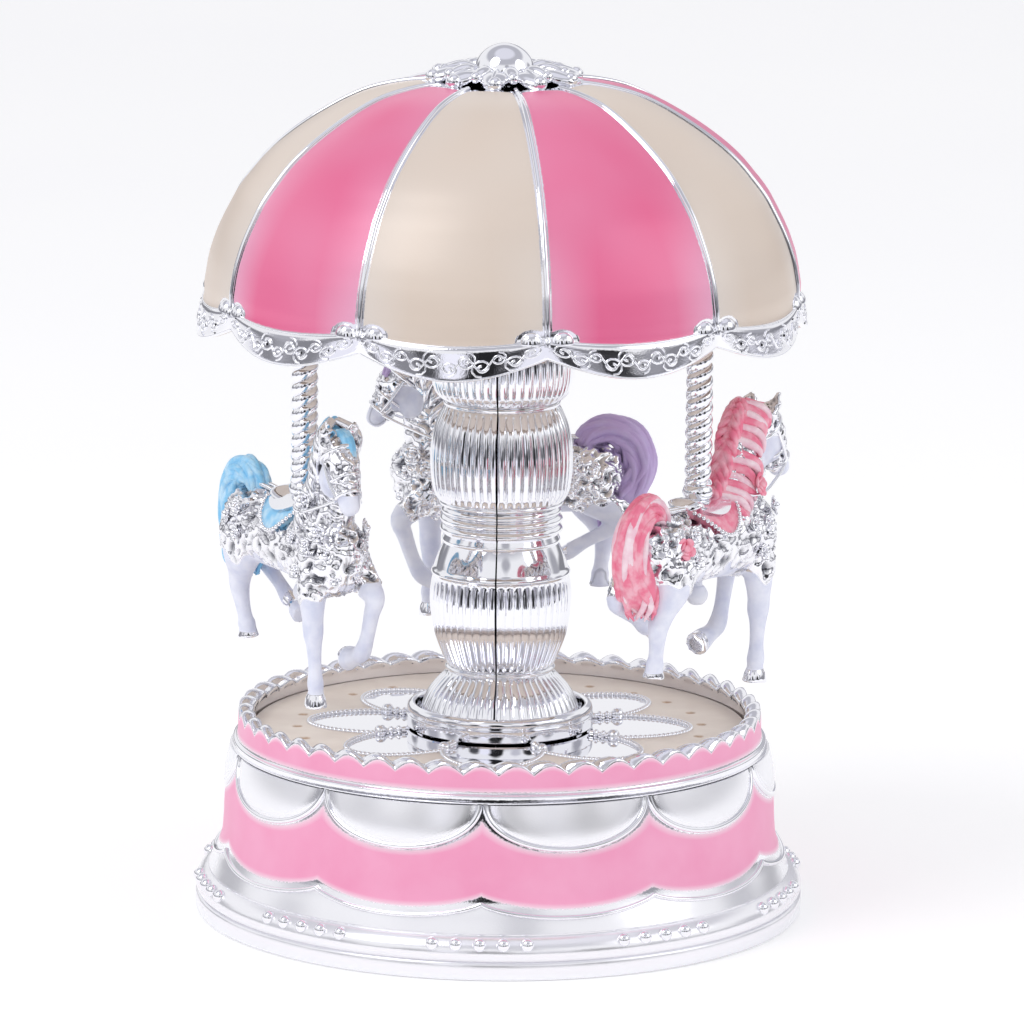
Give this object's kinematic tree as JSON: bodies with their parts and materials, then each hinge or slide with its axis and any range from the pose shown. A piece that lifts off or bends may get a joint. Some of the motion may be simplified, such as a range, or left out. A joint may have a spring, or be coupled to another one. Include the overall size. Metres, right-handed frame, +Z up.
{
  "type": "carousel music box",
  "caption": "Tabletop music box shaped as a merry-go-round: a round base, a fluted column, a domed roof and horses on twisted poles that turn while a pinned cylinder plays a comb.",
  "frame": {"origin": "centre of the base's bottom rim, on the surface it stands on", "axes": "+Z up along the axis that the carousel turns about; +Y away from the front, so the column's seam faces -Y"},
  "size_m": [0.108, 0.108, 0.154],
  "materials": {
    "chrome_plated_plastic": "polished",
    "pink_painted_plastic": "satin",
    "cream_plastic": "satin",
    "white_plastic": "satin",
    "lilac_horse_plastic": "satin",
    "blue_horse_plastic": "satin",
    "rose_horse_plastic": "satin",
    "black_plastic": "satin",
    "brass": "satin",
    "bright_steel": "polished",
    "plated_steel": "polished",
    "die_cast_zinc": "satin"
  },
  "bodies": {
    "base": {"base_shell": "chrome_plated_plastic", "deck_plate": "cream_plastic", "deck_collar": "chrome_plated_plastic", "bottom_cover": "white_plastic", "cover_screw_1": "plated_steel", "cover_screw_2": "plated_steel", "cover_screw_3": "plated_steel", "movement_bedplate": "die_cast_zinc", "movement_screw_1": "plated_steel", "movement_screw_2": "plated_steel", "movement_screw_3": "plated_steel", "spring_housing": "brass", "mainspring": "bright_steel", "comb": "bright_steel", "comb_screw_1": "plated_steel", "comb_screw_2": "plated_steel", "governor_bracket": "brass", "governor_screw": "plated_steel"},
    "carousel": {"spring_arbor": "bright_steel", "crown_gear": "brass", "column_hub": "white_plastic", "column_left": "chrome_plated_plastic", "column_right": "chrome_plated_plastic", "roof_ceiling": "cream_plastic", "roof_dome": "pink_painted_plastic", "roof_screw": "plated_steel", "roof_rosette": "chrome_plated_plastic", "roof_finial": "chrome_plated_plastic", "pole_1": "chrome_plated_plastic", "pole_screw_1": "plated_steel", "pole_pin_1": "white_plastic", "horse_1_left": "lilac_horse_plastic", "horse_1_right": "lilac_horse_plastic", "pole_2": "chrome_plated_plastic", "pole_screw_2": "plated_steel", "pole_pin_2": "white_plastic", "horse_2_left": "blue_horse_plastic", "horse_2_right": "blue_horse_plastic", "pole_3": "chrome_plated_plastic", "pole_screw_3": "plated_steel", "pole_pin_3": "white_plastic", "horse_3_left": "rose_horse_plastic", "horse_3_right": "rose_horse_plastic"},
    "cylinder": {"cylinder_arbor": "bright_steel", "cylinder_pinion": "brass", "pin_cylinder": "brass", "cylinder_gear": "brass"},
    "governor": {"governor_arbor": "bright_steel", "governor_pinion": "brass", "governor_wheel": "brass"},
    "fly": {"governor_worm": "bright_steel", "fly_blade": "black_plastic"}
  },
  "joints": [
    {"name": "carousel_spin", "type": "hinge", "parent": "base", "child": "carousel", "pos_m": [0, 0, 0.04], "axis": [0, 0, 1], "continuous": true},
    {"name": "cylinder_spin", "type": "hinge", "parent": "base", "child": "cylinder", "pos_m": [0, 0, 0.01863], "axis": [1, 0, 0], "continuous": true},
    {"name": "governor_spin", "type": "hinge", "parent": "base", "child": "governor", "pos_m": [0, -0.00825, 0.01863], "axis": [1, 0, 0], "continuous": true},
    {"name": "fly_spin", "type": "hinge", "parent": "base", "child": "fly", "pos_m": [0.0392, -0.01565, 0.01], "axis": [0, 0, 1], "continuous": true}
  ],
  "couplings": [
    {"joint": "cylinder_spin", "follows": "carousel_spin", "ratio": 3},
    {"joint": "governor_spin", "follows": "carousel_spin", "ratio": -12},
    {"joint": "fly_spin", "follows": "carousel_spin", "ratio": -288}
  ]
}
